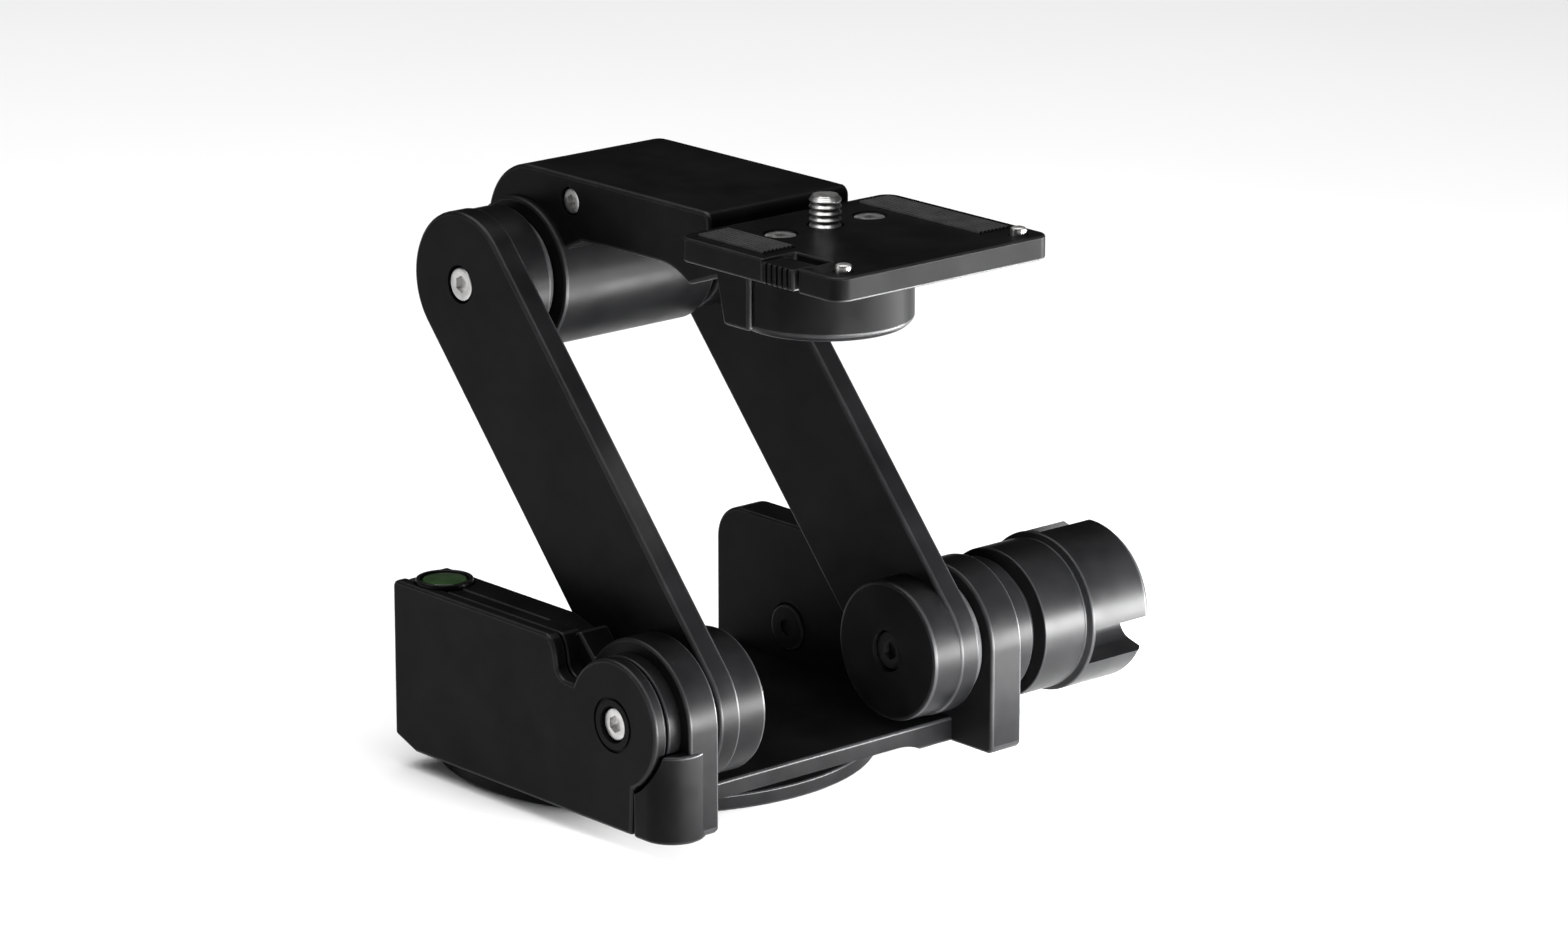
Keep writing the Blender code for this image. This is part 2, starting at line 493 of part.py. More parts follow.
for i in range(3):
    turn = 195.0 + 120.0 * i
    slot = (arc(SLOT_FLOOR + SLOT_HALF, 0.0, SLOT_HALF, 90, 270, 8)
            + [(22.0, -SLOT_HALF), (22.0, SLOT_HALF)])
    c, s = math.cos(math.radians(turn)), math.sin(math.radians(turn))
    turned_slot = [(u * c - v * s, u * s + v * c) for u, v in slot]
    cut(knob, side_slab("knob_slot_cutter_%d" % i, [turned_slot], KNOB_STEP + 1.6, KNOB_END + 5.0))
finish(knob, knob_axis, BLACK)
finish(pin("knob_cap", 7.7, recess_floor + 0.3, recess_floor + 1.9, lower, ALONG_X, 0.4, 32),
       knob_axis, DARK)
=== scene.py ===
import json
import math

import bmesh
import bpy
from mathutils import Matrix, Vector


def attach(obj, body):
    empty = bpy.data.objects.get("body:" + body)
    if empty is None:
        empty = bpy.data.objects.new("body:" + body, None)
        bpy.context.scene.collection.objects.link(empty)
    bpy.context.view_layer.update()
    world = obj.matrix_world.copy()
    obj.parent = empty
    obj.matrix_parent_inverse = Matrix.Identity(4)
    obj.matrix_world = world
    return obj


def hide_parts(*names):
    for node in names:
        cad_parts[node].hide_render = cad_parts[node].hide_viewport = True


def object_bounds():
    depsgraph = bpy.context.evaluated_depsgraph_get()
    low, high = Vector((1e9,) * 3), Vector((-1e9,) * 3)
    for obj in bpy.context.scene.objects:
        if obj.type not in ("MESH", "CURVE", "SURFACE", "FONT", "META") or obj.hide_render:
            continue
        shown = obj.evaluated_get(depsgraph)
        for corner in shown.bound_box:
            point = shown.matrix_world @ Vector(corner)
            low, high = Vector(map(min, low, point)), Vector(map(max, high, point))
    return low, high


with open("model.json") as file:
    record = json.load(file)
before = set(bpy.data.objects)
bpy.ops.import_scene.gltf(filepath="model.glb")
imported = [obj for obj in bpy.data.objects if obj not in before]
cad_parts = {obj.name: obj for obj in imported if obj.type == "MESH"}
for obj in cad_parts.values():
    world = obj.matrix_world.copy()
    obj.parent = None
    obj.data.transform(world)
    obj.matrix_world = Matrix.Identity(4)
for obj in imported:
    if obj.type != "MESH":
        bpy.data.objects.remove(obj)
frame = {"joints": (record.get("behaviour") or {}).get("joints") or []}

cad_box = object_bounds()

MM = 0.001
joints = {joint["name"]: joint for joint in frame["joints"]}
LOWER = Vector(joints["arm_tilt"]["pos_m"])
upper_offset = (Vector(joints["link_tilt"]["pos_m"]) - LOWER) / MM
pan_offset = (Vector(joints["pan"]["pos_m"]) - LOWER) / MM
UPPER_Y, UPPER_Z = upper_offset.y, upper_offset.z
PAN_X, PAN_Y = pan_offset.x, pan_offset.y

GAP = 0.3                                        # clearance between neighbouring pieces

# tripod disc, grip ring and tripod bush
DISC_RADIUS, DISC_BORE = 45.0, 8.3
DISC_HUB_RADIUS, DISC_HUB_TOP = 17.0, -18.8
DISC_TOP, DISC_UNDERSIDE = -21.5, -24.7
GRIP_SEAT_IN, GRIP_SEAT_OUT, GRIP_SEAT = 24.0, 38.5, -23.7
GRIP_IN, GRIP_OUT, GRIP_TOP, GROUND = 24.3, 38.2, -24.0, -25.0
GRIP_RIBS, GRIP_PITCH = 12, 1.08
TRIPOD_BUSH_RADIUS, TRIPOD_BUSH_BORE, TRIPOD_BUSH_BOTTOM = 8.0, 4.9, -24.5
TRIPOD_THREAD_TOP, TRIPOD_THREAD_END = -19.4, -24.0
TRIPOD_CREST, TRIPOD_ROOT, TRIPOD_PITCH = 4.1, 4.5, 1.15

# base
BASE_BOTTOM = -21.2
FLOOR_TOP, FLOOR_FRONT, FLOOR_BACK = -15.9, -4.0, 66.0
WALL_BACK, WALL_TOP = 68.8, 13.7
EAR_RADIUS, KNUCKLE_RADIUS = 15.8, 13.0
LEFT_IN, LEFT_STEP, LEFT_FRAME = -35.6, -42.9, -45.9
COVER_IN, COVER_OUT = -46.2, -49.2
RIGHT_IN, RIGHT_OUT = 36.4, 44.6
FOOT_RADIUS, FOOT_Y, FOOT_TOP = 6.7, -9.7, -3.5
ARCH_TOP = -19.4
KNUCKLE_GAP_RADIUS, PIVOT_BORE = 14.0, 7.3
PAN_BORE, PAN_RECESS_RADIUS, PAN_RECESS_TOP = 6.0, 20.5, -18.4
CAP_RADIUS, CAP_NECK_RADIUS = 13.0, 5.7
CAP_TOP, CAP_UNDERSIDE, CAP_BOTTOM = -14.0, -15.6, -18.1
COVER_HOLE, COVER_GROOVE_IN, COVER_GROOVE_OUT = 3.7, 5.0, 5.6
LEVEL_X, LEVEL_Y, LEVEL_RADIUS = -42.4, 60.5, 6.2
LEVEL_POCKET = 2.4                               # depth of the level's pocket below the wall's top
PLUG_Y, PLUG_Z, PLUG_RADIUS = 46.0, -8.6, 5.2

# arms and pivots
ARM_RADIUS, HUB_RADIUS = 14.7, 14.4
ARM_OUT, ARM_BLADE, ARM_HUB = 34.3, 5.4, 12.1
BUSH_IN, BUSH_OUT = 4.3, 7.0
WASHER_IN, WASHER_OUT, COLLAR_OUT = 4.6, 13.2, 14.4
UPPER_BORE, UPPER_WASHER_OUT, SLEEVE_OUT = 5.3, 12.2, 7.9
AXLE_IN, AXLE_OUT, AXLE_HALF = 2.9, 5.0, 29.6
BOLT_RADIUS, BOLT_END_RADIUS = 4.0, 3.3
BOLT_START, BOLT_STEP, BOLT_END = -23.0, -45.7, -48.5
STUD_START, STUD_END = 23.0, 61.0
SCREW_HEAD_RADIUS, SCREW_RECESS_RADIUS = 3.4, 3.9
SCREW_SHANK_RADIUS, SCREW_HOLE_RADIUS, SCREW_START = 2.5, 2.8, 20.0
SCREW_RECESS_DEPTH, SCREW_SEAT_DEPTH = 2.3, 4.4  # from the arm's outer side
SLEEVE_START = 5.0

# upper link
BARREL_RADIUS, BARREL_HALF, BARREL_BORE = 15.6, 19.8, 8.2
NECK_HALF, NECK_TOP, NECK_ARCH = 18.2, 95.2, 82.7
NOSE_RADIUS, NOSE_Y = 17.4, -6.2
NOSE_BOTTOM, NOSE_TOP = 73.2, 87.4
WHEEL_RADIUS, WHEEL_RECESS_RADIUS, WHEEL_RECESS = 12.9, 13.6, 6.4
SET_Y, SET_Z, SET_RADIUS = 49.5, 90.0, 2.6

# top plate, its fittings and the camera screw
PLATE_HALF, PLATE_FRONT, PLATE_BACK = 27.5, -40.8, 5.9
PLATE_BOTTOM, PLATE_TOP, PLATE_CORNER = 87.7, 92.5, 3.2
PLATE_SCREW_X, PLATE_SCREW_END, PLATE_SCREW_HOLE = 11.5, 81.2, 1.8
SINK_RADIUS, SINK_DEPTH = 3.5, 1.9
BUTTON_FRONT, BUTTON_REAR, BUTTON_IN = -29.4, -19.2, -19.0
BUTTON_GROOVE_PITCH = 1.5
PAD_IN, PAD_OUT, PAD_BACK = 16.5, 25.0, 3.0
PAD_FRONTS = {-1: -16.5, 1: -32.0}               # the left pad stops behind the button
PAD_RIDGES = 8
PIN_X, PIN_Y, PIN_RADIUS = 22.5, -36.6, 1.6
SHANK_HOLE, SHANK_CREST, SHANK_ROOT, SHANK_PITCH = 3.6, 3.17, 2.75, 1.27

# friction knob
KNOB_START, KNOB_STEP, KNOB_END = 49.3, 62.9, 80.3
KNOB_RADIUS, LOBE_RADIUS, KNOB_RECESS = 15.6, 16.6, 7.0
KNOB_BORE, KNOB_RECESS_RADIUS, KNOB_FOOT_RADIUS = 4.3, 8.0, 11.8
SLOTS, FIRST_SLOT = 3, 195.0                     # first slot's direction, in degrees
SLOT_HALF, SLOT_FLOOR = 4.0, 7.6                 # the floor is measured from the axis

ALONG_X = (0.0, math.pi / 2, 0.0)                # local Z becomes X
SIDE = (math.pi / 2, 0.0, math.pi / 2)           # local X, Y, Z become Y, Z, X
FLAT = (0.0, 0.0, 0.0)
ROUND = 96                                       # steps round a large turned piece
HEX = 6                                          # steps round a hexagonal socket
TEETH = 54                                       # round the thumb wheel
BEVEL_ANGLE, SHARP_ANGLE = 35.0, 32.0            # degrees between faces

spent_tools = []


def place(x, y, z):
    """Design millimetres to world metres."""
    return LOWER + Vector((x, y, z)) * MM


# --- materials ---


def shader_of(name, roughness, metallic, specular=0.5, coat=0.0):
    """A new material with its node tree and its shader."""
    mat = bpy.data.materials.new(name)
    mat.use_nodes = True
    shader = mat.node_tree.nodes["Principled BSDF"]
    shader.inputs["Roughness"].default_value = roughness
    shader.inputs["Metallic"].default_value = metallic
    shader.inputs["Specular IOR Level"].default_value = specular
    shader.inputs["Coat Weight"].default_value = coat
    return mat, mat.node_tree, shader


def add_node(tree, kind, **values):
    """A new node with values set on its sockets, by the sockets' names."""
    node = tree.nodes.new(kind)
    for socket, value in values.items():
        node.inputs[socket].default_value = value
    return node


def noise(tree, scale, detail=3.0, roughness=0.5):
    """A noise texture fixed to the piece; scale is in features per metre."""
    where = add_node(tree, "ShaderNodeTexCoord")
    texture = add_node(tree, "ShaderNodeTexNoise", Scale=scale, Detail=detail, Roughness=roughness)
    tree.links.new(where.outputs["Object"], texture.inputs["Vector"])
    return texture.outputs["Fac"]


def ramp(tree, source, stops):
    """A ramp over source; stops are (position, colour)."""
    node = add_node(tree, "ShaderNodeValToRGB")
    elements = node.color_ramp.elements
    while len(elements) < len(stops):
        elements.new(0.5)
    for element, (position, colour) in zip(elements, stops):
        element.position = position
        element.color = (*colour, 1.0)
    tree.links.new(source, node.inputs["Fac"])
    return node.outputs["Color"]


def span(tree, source, low, high):
    """source's middle values spread over low to high."""
    node = add_node(tree, "ShaderNodeMapRange")
    node.inputs["From Min"].default_value = 0.3
    node.inputs["From Max"].default_value = 0.7
    node.inputs["To Min"].default_value = low
    node.inputs["To Max"].default_value = high
    tree.links.new(source, node.inputs["Value"])
    return node.outputs["Result"]


def bump(tree, shader, height, strength, distance):
    """Fine relief; distance is in metres."""
    node = add_node(tree, "ShaderNodeBump", Strength=strength, Distance=distance)
    tree.links.new(height, node.inputs["Height"])
    tree.links.new(node.outputs["Normal"], shader.inputs["Normal"])


def anodised(name, dark, light, roughness, specular):
    """Black satin anodised aluminium: fine blasted grain with faint clouding."""
    mat, tree, shader = shader_of(name, roughness, 0.0, specular)
    tree.links.new(ramp(tree, noise(tree, 70.0, 5.0, 0.6), [(0.35, dark), (0.68, light)]),
                   shader.inputs["Base Color"])
    tree.links.new(span(tree, noise(tree, 160.0, 4.0), roughness - 0.04, roughness + 0.06),
                   shader.inputs["Roughness"])
    bump(tree, shader, noise(tree, 5200.0, 2.0), 0.12, 0.00004)
    return mat


def turned_metal(name, dark, light, roughness, axis):
    """Turned metal: fine rings about an axis, with clouding between them."""
    mat, tree, shader = shader_of(name, roughness, 1.0)
    where = add_node(tree, "ShaderNodeTexCoord")
    rings = add_node(tree, "ShaderNodeTexWave", Scale=1400.0, Distortion=1.2, Detail=2.0)
    rings.wave_type, rings.rings_direction = "RINGS", axis
    tree.links.new(where.outputs["Object"], rings.inputs["Vector"])
    tree.links.new(ramp(tree, noise(tree, 420.0, 4.0), [(0.3, dark), (0.7, light)]),
                   shader.inputs["Base Color"])
    tree.links.new(span(tree, noise(tree, 900.0, 3.0), roughness - 0.07, roughness + 0.08),
                   shader.inputs["Roughness"])
    bump(tree, shader, rings.outputs["Fac"], 0.22, 0.00003)
    return mat


def rubber(name):
    """Dull black rubber with a coarse grain."""
    mat, tree, shader = shader_of(name, 0.78, 0.0, specular=0.3)
    tree.links.new(ramp(tree, noise(tree, 240.0, 4.0), [(0.3, (0.010, 0.010, 0.010)),
                                                        (0.75, (0.026, 0.026, 0.026))]),
                   shader.inputs["Base Color"])
    bump(tree, shader, noise(tree, 2600.0, 3.0), 0.35, 0.00008)
    return mat


def polymer(name):
    """Dark moulded plastic."""
    mat, tree, shader = shader_of(name, 0.55, 0.0, specular=0.4)
    tree.links.new(ramp(tree, noise(tree, 300.0, 3.0), [(0.3, (0.022, 0.022, 0.023)),
                                                        (0.75, (0.045, 0.045, 0.047))]),
                   shader.inputs["Base Color"])
    bump(tree, shader, noise(tree, 3000.0, 2.0), 0.2, 0.00005)
    return mat


def vial_green(name):
    """The level's green fluid under its clear dome."""
    mat, tree, shader = shader_of(name, 0.08, 0.0, coat=1.0)
    tree.links.new(ramp(tree, noise(tree, 190.0, 2.0), [(0.3, (0.016, 0.036, 0.012)),
                                                        (0.7, (0.034, 0.070, 0.026))]),
                   shader.inputs["Base Color"])
    shader.inputs["Coat Roughness"].default_value = 0.04
    return mat


BLACK = anodised("satin_black", (0.0022, 0.0022, 0.0024), (0.0048, 0.0048, 0.0051), 0.34, 0.050)
COVER = anodised("satin_cover", (0.0026, 0.0026, 0.0028), (0.0052, 0.0052, 0.0055), 0.40, 0.048)
GRIP = anodised("satin_knob", (0.0022, 0.0022, 0.0024), (0.0048, 0.0048, 0.0051), 0.32, 0.070)
OXIDE = anodised("black_oxide", (0.0040, 0.0040, 0.0042), (0.0080, 0.0080, 0.0084), 0.50, 0.20)
# lighter black for the rounded edges: a painted highlight standing in for light caught by the
# bevels
PAINTED_EDGE_HIGHLIGHT = anodised("painted_edge_highlight", (0.0060, 0.0060, 0.0064), (0.0130, 0.0130, 0.0138), 0.34, 0.13)
STEEL_X = turned_metal("turned_steel_x", (0.42, 0.42, 0.42), (0.62, 0.61, 0.60), 0.34, "X")
STEEL_Z = turned_metal("turned_steel_z", (0.42, 0.42, 0.42), (0.62, 0.61, 0.60), 0.34, "Z")
BRONZE = turned_metal("turned_bronze", (0.34, 0.24, 0.11), (0.50, 0.37, 0.18), 0.38, "X")
RUBBER = rubber("ribbed_rubber")
POLYMER = polymer("friction_washer")
GREEN = vial_green("level_green")

# --- shapes ---


def arc(cx, cy, radius, start, end, steps):
    """Points on an arc from start to end, in degrees."""
    angles = [math.radians(start + (end - start) * i / steps) for i in range(steps + 1)]
    return [(cx + radius * math.cos(a), cy + radius * math.sin(a)) for a in angles]


def new_solid(name, mesh, centre, rotation):
    """An object that shows the mesh, put in the scene."""
    solid = bpy.data.objects.new(name, mesh)
    solid.location, solid.rotation_euler = centre, rotation
    bpy.context.scene.collection.objects.link(solid)
    return solid


def slab(name, outline, depth, centre, rotation=FLAT):
    """A flat outline as a closed mesh of the given depth."""
    curve = bpy.data.curves.new(name, "CURVE")
    curve.dimensions, curve.fill_mode, curve.extrude = "2D", "BOTH", depth * MM / 2
    spline = curve.splines.new("POLY")
    spline.points.add(len(outline) - 1)
    for point, (u, v) in zip(spline.points, outline):
        point.co = (u * MM, v * MM, 0.0, 1.0)
    spline.use_cyclic_u = True
    drawn = new_solid(name + "_outline", curve, centre, rotation)
    bpy.context.view_layer.update()
    graph = bpy.context.evaluated_depsgraph_get()
    mesh = bpy.data.meshes.new_from_object(drawn.evaluated_get(graph))
    bpy.data.objects.remove(drawn, do_unlink=True)
    welded = bmesh.new()
    welded.from_mesh(mesh)
    bmesh.ops.remove_doubles(welded, verts=welded.verts, dist=1e-6)
    bmesh.ops.dissolve_limit(welded, angle_limit=0.001, verts=welded.verts, edges=welded.edges)
    bmesh.ops.recalc_face_normals(welded, faces=welded.faces)
    welded.to_mesh(mesh)
    welded.free()
    return new_solid(name, mesh, centre, rotation)


def side_slab(name, outline, x0, x1):
    """A side outline between two X positions."""
    low, high = min(x0, x1), max(x0, x1)
    return slab(name, outline, high - low, place((low + high) / 2, 0.0, 0.0), SIDE)


def box(name, low, high):
    """A rectangular block between two corners."""
    block = bmesh.new()
    bmesh.ops.create_cube(block, size=1.0)
    bmesh.ops.scale(block, vec=[(b - a) * MM for a, b in zip(low, high)], verts=block.verts)
    mesh = bpy.data.meshes.new(name)
    block.to_mesh(mesh)
    block.free()
    return new_solid(name, mesh, place(*[(a + b) / 2 for a, b in zip(low, high)]), FLAT)


def turned(name, profile, centre, rotation=FLAT, steps=ROUND, closed=True):
    """A turned piece: (radius, height) points down the outer side, spun about local Z."""
    mesh = bpy.data.meshes.new(name)
    count = len(profile)
    edges = [(i, i + 1) for i in range(count - 1)] + ([(count - 1, 0)] if closed else [])
    mesh.from_pydata([(r * MM, 0.0, h * MM) for r, h in profile], edges, [])
    solid = new_solid(name, mesh, centre, rotation)
    spin = solid.modifiers.new("spin", "SCREW")
    spin.axis, spin.angle = "Z", 2 * math.pi
    spin.steps = spin.render_steps = steps
    spin.use_merge_vertices, spin.merge_threshold = True, 1e-6
    spin.use_smooth_shade = False
    return solid


def drum(name, radius, low, high, centre, rotation=FLAT, steps=64):
    """A plain round cutter between two heights."""
    profile = [(0.0, high), (radius, high), (radius, low), (0.0, low)]
    return turned(name, profile, centre, rotation, steps, closed=False)


def stepped(name, steps_down, centre, rotation=FLAT, steps=64):
    """A round cutter of several radii: (radius, high, low) for each step, from the top down."""
    profile = [(0.0, steps_down[0][1])]
    for radius, high, low in steps_down:
        profile += [(radius, high), (radius, low)]
    profile.append((0.0, steps_down[-1][2]))
    return turned(name, profile, centre, rotation, steps, closed=False)


def bevel(solid, width, segments=3):
    """Round the sharp edges; the rounded faces take the piece's second material, which for the
    black pieces is a lighter black: a painted highlight along the edges.
    """
    while len(solid.data.materials) < 2:
        solid.data.materials.append(BLACK)
    edge = solid.modifiers.new("edges", "BEVEL")
    edge.width, edge.segments, edge.material = width * MM, segments, 1
    edge.limit_method, edge.angle_limit = "ANGLE", math.radians(BEVEL_ANGLE)
    return solid


def ring(name, inner, outer, low, high, centre, rotation=FLAT, edge=0.25):
    """A washer, bush or collar between two heights, with softened edges."""
    profile = [(inner, high), (outer, high), (outer, low), (inner, low)]
    return bevel(turned(name, profile, centre, rotation), edge, 2)


def pin(name, radius, low, high, centre, rotation=FLAT, edge=0.3, steps=64):
    """A solid round pin between two heights, with softened edges."""
    return bevel(drum(name, radius, low, high, centre, rotation, steps), edge, 2)


def combine(solid, tool, operation):
    """Join or cut with a tool, which bake() removes."""
    step = solid.modifiers.new(operation.lower(), "BOOLEAN")
    step.operation, step.object, step.solver = operation, tool, "EXACT"
    spent_tools.append(tool)


def cut(solid, *tools):
    for tool in tools:
        combine(solid, tool, "DIFFERENCE")


def join(solid, *tools):
    for tool in tools:
        combine(solid, tool, "UNION")


def bake(solid):
    """Make the modifiers' result the piece's own mesh and remove the tools that shaped it."""
    bpy.context.view_layer.update()
    graph = bpy.context.evaluated_depsgraph_get()
    mesh = bpy.data.meshes.new_from_object(solid.evaluated_get(graph))
    solid.modifiers.clear()
    solid.data = mesh
    while spent_tools:
        bpy.data.objects.remove(spent_tools.pop(), do_unlink=True)
    clean = bmesh.new()
    clean.from_mesh(mesh)
    bmesh.ops.remove_doubles(clean, verts=clean.verts, dist=2e-6)
    bmesh.ops.dissolve_degenerate(clean, dist=1e-6, edges=clean.edges)
    clean.to_mesh(mesh)
    clean.free()


def show(solid, body, mat, node):
    """Finish a piece: its own mesh, its material, the body it rides on and the node it shows."""
    bake(solid)
    looks = solid.data.materials
    if len(looks) == 0:
        looks.append(mat)
    looks[0] = mat
    if len(looks) > 1:
        # the black pieces' rounded edges get the lighter material: a painted highlight along the
        # edges
        looks[1] = PAINTED_EDGE_HIGHLIGHT if mat in (BLACK, COVER, GRIP) else mat
    solid.data.shade_smooth()
    solid.data.set_sharp_from_angle(angle=math.radians(SHARP_ANGLE))
    even = solid.modifiers.new("even_shading", "WEIGHTED_NORMAL")
    even.keep_sharp, even.weight = True, 80
    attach(solid, body)
    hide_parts(node)


def between(side, a, b):
    """Heights along X for a piece mirrored to the given side."""
    return tuple(sorted((side * a, side * b)))


lower = place(0.0, 0.0, 0.0)
upper = place(0.0, UPPER_Y, UPPER_Z)
pan_centre = place(PAN_X, PAN_Y, 0.0)
nose_centre = place(0.0, NOSE_Y, 0.0)
level_centre = place(LEVEL_X, LEVEL_Y, 0.0)
plug_centre = place(0.0, PLUG_Y, PLUG_Z)
set_centre = place(0.0, SET_Y, SET_Z)

# --- tripod disc ---
show(bevel(turned("disc_body", [
    (DISC_BORE, DISC_HUB_TOP), (DISC_HUB_RADIUS, DISC_HUB_TOP), (DISC_HUB_RADIUS, DISC_TOP),
    (DISC_RADIUS, DISC_TOP), (DISC_RADIUS, DISC_UNDERSIDE), (GRIP_SEAT_OUT, DISC_UNDERSIDE),
    (GRIP_SEAT_OUT, GRIP_SEAT), (GRIP_SEAT_IN, GRIP_SEAT), (GRIP_SEAT_IN, DISC_UNDERSIDE),
    (DISC_BORE, DISC_UNDERSIDE)], pan_centre, steps=160), 0.45),
    "tripod", BLACK, "pan_disc")
ribs = [(GRIP_IN, GRIP_TOP), (GRIP_OUT, GRIP_TOP), (GRIP_OUT, GROUND)]
for i in range(GRIP_RIBS):
    outer = GRIP_OUT - 0.5 - i * GRIP_PITCH
    ribs += [(outer, GROUND), (outer - 0.18, GROUND + 0.4), (outer - 0.42, GROUND + 0.4),
             (outer - 0.6, GROUND)]
ribs.append((GRIP_IN, GROUND))
show(turned("grip_ring_ribbed", ribs, pan_centre, steps=160), "tripod", RUBBER,
     "grip_ring")


def threaded(start, end, crest, root, pitch):
    """Profile points of a thread's flanks between two heights, from start down to end."""
    count = int((start - end) / pitch)
    points = []
    for i in range(count):
        top = start - i * pitch
        points += [(root, top), (crest, top - pitch * 0.45), (crest, top - pitch * 0.55)]
    return points


bush = [(TRIPOD_BUSH_BORE, DISC_HUB_TOP), (TRIPOD_BUSH_RADIUS, DISC_HUB_TOP),
        (TRIPOD_BUSH_RADIUS, TRIPOD_BUSH_BOTTOM + 0.3),
        (TRIPOD_BUSH_RADIUS - 0.3, TRIPOD_BUSH_BOTTOM)]
bush += reversed(threaded(TRIPOD_THREAD_TOP, TRIPOD_THREAD_END, TRIPOD_CREST, TRIPOD_ROOT,
                          TRIPOD_PITCH))
show(turned("tripod_bush_threaded", bush, pan_centre), "tripod", STEEL_Z,
     "tripod_bush")

# --- base casting ---
concave = arc(22.0, 20.2, 8.0, -90, -137, 10)
ear = arc(0.0, 0.0, EAR_RADIUS, 34, 180, 44)
lower_front = [(-EAR_RADIUS, BASE_BOTTOM + 1.0), (-EAR_RADIUS + 1.0, BASE_BOTTOM)]


def wall_outline(corner):
    """Side outline of a base wall; corner is the radius of its top back corner."""
    back = arc(WALL_BACK - corner, WALL_TOP - corner, corner, 0, 90, 14)
    lower_back = [(62.4, BASE_BOTTOM), (WALL_BACK, BASE_BOTTOM + 2.4)]
    return lower_back + back + [(27.5, WALL_TOP)] + concave[:8] + ear + lower_front


notch = ([(20.5, WALL_TOP), (19.2, 13.3), (18.2, 12.0), (17.6, 10.4)]
         + arc(14.2, 8.4, 3.0, 0, -80, 8))
knuckle = arc(0.0, 0.0, KNUCKLE_RADIUS, 24, 243, 64)


def panel_outline(inset):
    """Side outline of the left cover and of the frame behind it, whose box is a little smaller."""
    back, top, bottom = WALL_BACK - inset, WALL_TOP - inset, BASE_BOTTOM + inset
    return ([(62.4, bottom), (back, bottom + 2.4)] + arc(back - 1.4, top - 1.4, 1.4, 0, 90, 5)
            + [(notch[0][0], top)] + notch[1:] + knuckle + [(-5.4, bottom)])


casting = bevel(box("casting_body", (LEFT_IN - 3.1, FLOOR_FRONT, BASE_BOTTOM + 0.2),
                    (RIGHT_IN + 3.1, FLOOR_BACK, FLOOR_TOP)), 0.6)
left_wall = bevel(side_slab("left_wall", wall_outline(1.2), LEFT_IN, LEFT_STEP), 0.6)
left_frame = bevel(side_slab("left_frame", panel_outline(0.25), LEFT_STEP + 1.5, LEFT_FRAME), 0.4)
right_wall = bevel(side_slab("right_wall", wall_outline(7.5), RIGHT_IN, RIGHT_OUT), 0.8)
foot_x = COVER_OUT + 0.1 + FOOT_RADIUS
foot_plan = ([(foot_x - FOOT_RADIUS, -6.0)] + arc(foot_x, FOOT_Y, FOOT_RADIUS, 180, 360, 40)
             + [(foot_x + FOOT_RADIUS, 1.5), (LEFT_FRAME + GAP, 1.5), (LEFT_FRAME + GAP, -6.0)])
foot = bevel(slab("left_foot", foot_plan, FOOT_TOP - BASE_BOTTOM + 0.15,
                  place(0.0, 0.0, (FOOT_TOP + BASE_BOTTOM - 0.15) / 2)), 0.6)
cut(foot, drum("knuckle_gap", KNUCKLE_GAP_RADIUS, -52.0, LEFT_STEP, lower, ALONG_X, steps=96))
join(casting, left_wall, left_frame, right_wall, foot)
arch_plan = (arc(-26.0, ARCH_TOP - 8.0, 8.0, 180, 90, 10)
             + arc(22.0, ARCH_TOP - 12.4, 12.4, 90, 0, 14) + [(34.4, -40.0), (-34.0, -40.0)])
cut(casting,
    drum("left_bore", PIVOT_BORE, -50.0, -30.0, lower, ALONG_X),
    drum("right_bore", PIVOT_BORE, 30.0, 50.0, lower, ALONG_X),
    slab("front_arch", arch_plan, 32.0, place(0.0, -10.0, 0.0), (math.pi / 2, 0.0, 0.0)),
    stepped("pan_recess", [(PAN_BORE, -10.0, PAN_RECESS_TOP),
                           (PAN_RECESS_RADIUS, PAN_RECESS_TOP, -26.0)], pan_centre, steps=96),
    drum("plug_recess", PLUG_RADIUS, RIGHT_IN - 5.0, RIGHT_IN + 2.0, plug_centre, ALONG_X),
    drum("level_pocket", LEVEL_RADIUS, WALL_TOP - LEVEL_POCKET, WALL_TOP + 4.0, level_centre))
show(casting, "base", BLACK, "base_casting")

# --- left cover, level and small fittings of the base ---
cover = bevel(side_slab("cover_panel", panel_outline(0.0), COVER_OUT, COVER_IN), 0.7)
cut(cover, drum("cover_hole", COVER_HOLE, -52.0, -40.0, lower, ALONG_X),
    ring("cover_groove", COVER_GROOVE_IN, COVER_GROOVE_OUT, -50.0, COVER_OUT + 0.6, lower, ALONG_X,
         edge=0.05),
    drum("level_side", LEVEL_RADIUS, WALL_TOP - LEVEL_POCKET, WALL_TOP + 4.0, level_centre))
show(cover, "base", COVER, "left_cover")

level_top = WALL_TOP + 0.9
rim_in, rim_out, rim_bottom = 4.8, LEVEL_RADIUS - GAP, WALL_TOP - LEVEL_POCKET + GAP
show(bevel(turned("level_rim", [
    (rim_in, level_top - 0.5), (5.1, level_top), (5.7, level_top), (rim_out, level_top - 0.5),
    (rim_out, rim_bottom), (rim_in, rim_bottom)], level_centre), 0.12),
    "base", BLACK, "level_bezel")
dome = [(0.0, level_top + 0.3)]
dome += [(r, level_top + 0.3 - 0.03 * r * r) for r in (0.8, 1.6, 2.4, 3.2, 3.8, 4.3)]
show(turned("level_dome", dome + [(4.6, level_top - 0.6), (4.6, WALL_TOP - 2.0),
                                  (0.0, WALL_TOP - 2.0)], level_centre, closed=False),
     "base", GREEN, "level_vial")

